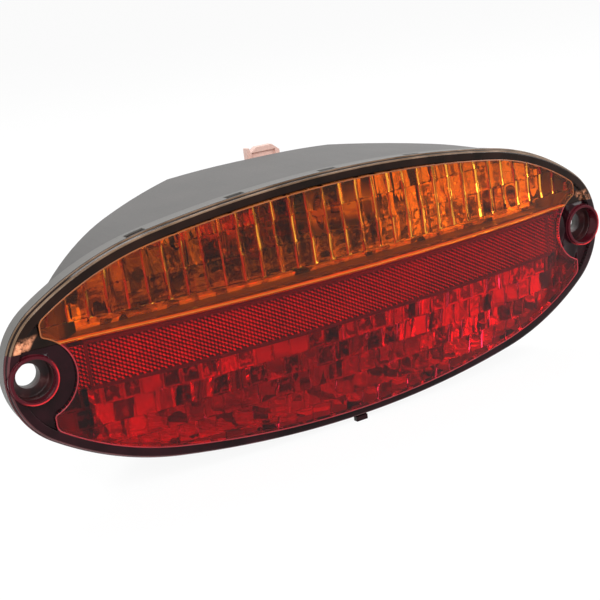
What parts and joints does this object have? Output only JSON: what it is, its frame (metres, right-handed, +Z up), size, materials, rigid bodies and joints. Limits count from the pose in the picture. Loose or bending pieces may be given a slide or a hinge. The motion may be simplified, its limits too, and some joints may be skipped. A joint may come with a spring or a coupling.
{
  "type": "trailer tail light",
  "caption": "Oval surface-mounted trailer tail light with an amber indicator lens above a red stop, tail and reflex lens, two screw ears and a rear connector.",
  "frame": {"origin": "midway between the two screw holes, on the plane of the mounting pads behind the ears", "axes": "+X along the lamp, -Y out of the lens, +Z up with the amber chamber on top"},
  "size_m": [0.24, 0.0799, 0.0908],
  "materials": {
    "housing_abs": "moulded satin",
    "amber_pmma": "polished transparent",
    "red_pmma": "polished transparent",
    "seal_rubber": "matt",
    "reflex_pmma": "polished transparent",
    "reflex_cover_abs": "moulded satin",
    "metallised_plastic": "vacuum metallised",
    "divider_abs": "moulded satin",
    "plated_steel": "zinc plated",
    "hard_paper": "laminated sheet",
    "spring_steel": "drawn",
    "nickel_brass": "polished",
    "amber_glass": "clear",
    "tungsten": "drawn",
    "black_glass": "fused",
    "solder": "tinned",
    "clear_glass": "clear",
    "strip_brass": "rolled",
    "rivet_steel": "headed",
    "connector_pbt": "moulded satin"
  },
  "bodies": {
    "housing": {"housing": "housing_abs", "upper_reflector": "metallised_plastic", "lower_reflector": "metallised_plastic", "chamber_divider": "divider_abs", "indicator_socket": "plated_steel", "stop_socket": "plated_steel", "earth_strip": "strip_brass", "indicator_strip": "strip_brass", "stop_strip": "strip_brass", "tail_strip": "strip_brass", "strip_rivets": "rivet_steel", "connector_shroud": "connector_pbt", "vent_plug": "seal_rubber"},
    "lens": {"amber_lens": "amber_pmma", "red_lens": "red_pmma", "lens_seal": "seal_rubber", "reflex_reflector": "reflex_pmma", "reflex_backing": "reflex_cover_abs"},
    "indicator_contact": {"indicator_plunger": "hard_paper", "indicator_spring": "spring_steel"},
    "indicator_bulb": {"indicator_bulb_cap": "nickel_brass", "indicator_bulb_glass": "amber_glass", "indicator_bulb_filament": "tungsten", "indicator_bulb_insulator": "black_glass", "indicator_bulb_contact": "solder"},
    "stop_contact": {"stop_plunger": "hard_paper", "stop_springs": "spring_steel"},
    "stop_bulb": {"stop_bulb_cap": "nickel_brass", "stop_bulb_glass": "clear_glass", "stop_bulb_filaments": "tungsten", "stop_bulb_insulator": "black_glass", "stop_bulb_contacts": "solder"}
  },
  "joints": [
    {"name": "lens_pull_off", "type": "slide", "parent": "housing", "child": "lens", "axis": [0, -1, 0], "range_m": [0, 0.045]},
    {"name": "indicator_bulb_push", "type": "slide", "parent": "housing", "child": "indicator_contact", "axis": [1, 0, 0], "range_m": [0, 0.002], "stiffness_N_per_m": 2500, "springref_m": -0.002},
    {"name": "indicator_bulb_twist", "type": "hinge", "parent": "indicator_contact", "child": "indicator_bulb", "pos_m": [0, 0.014, 0.0253], "axis": [-1, 0, 0], "range_deg": [0, 18]},
    {"name": "stop_bulb_push", "type": "slide", "parent": "housing", "child": "stop_contact", "axis": [-1, 0, 0], "range_m": [0, 0.002], "stiffness_N_per_m": 2500, "springref_m": -0.002},
    {"name": "stop_bulb_twist", "type": "hinge", "parent": "stop_contact", "child": "stop_bulb", "pos_m": [0, 0.014, -0.019], "axis": [-1, 0, 0], "range_deg": [0, 18]}
  ]
}
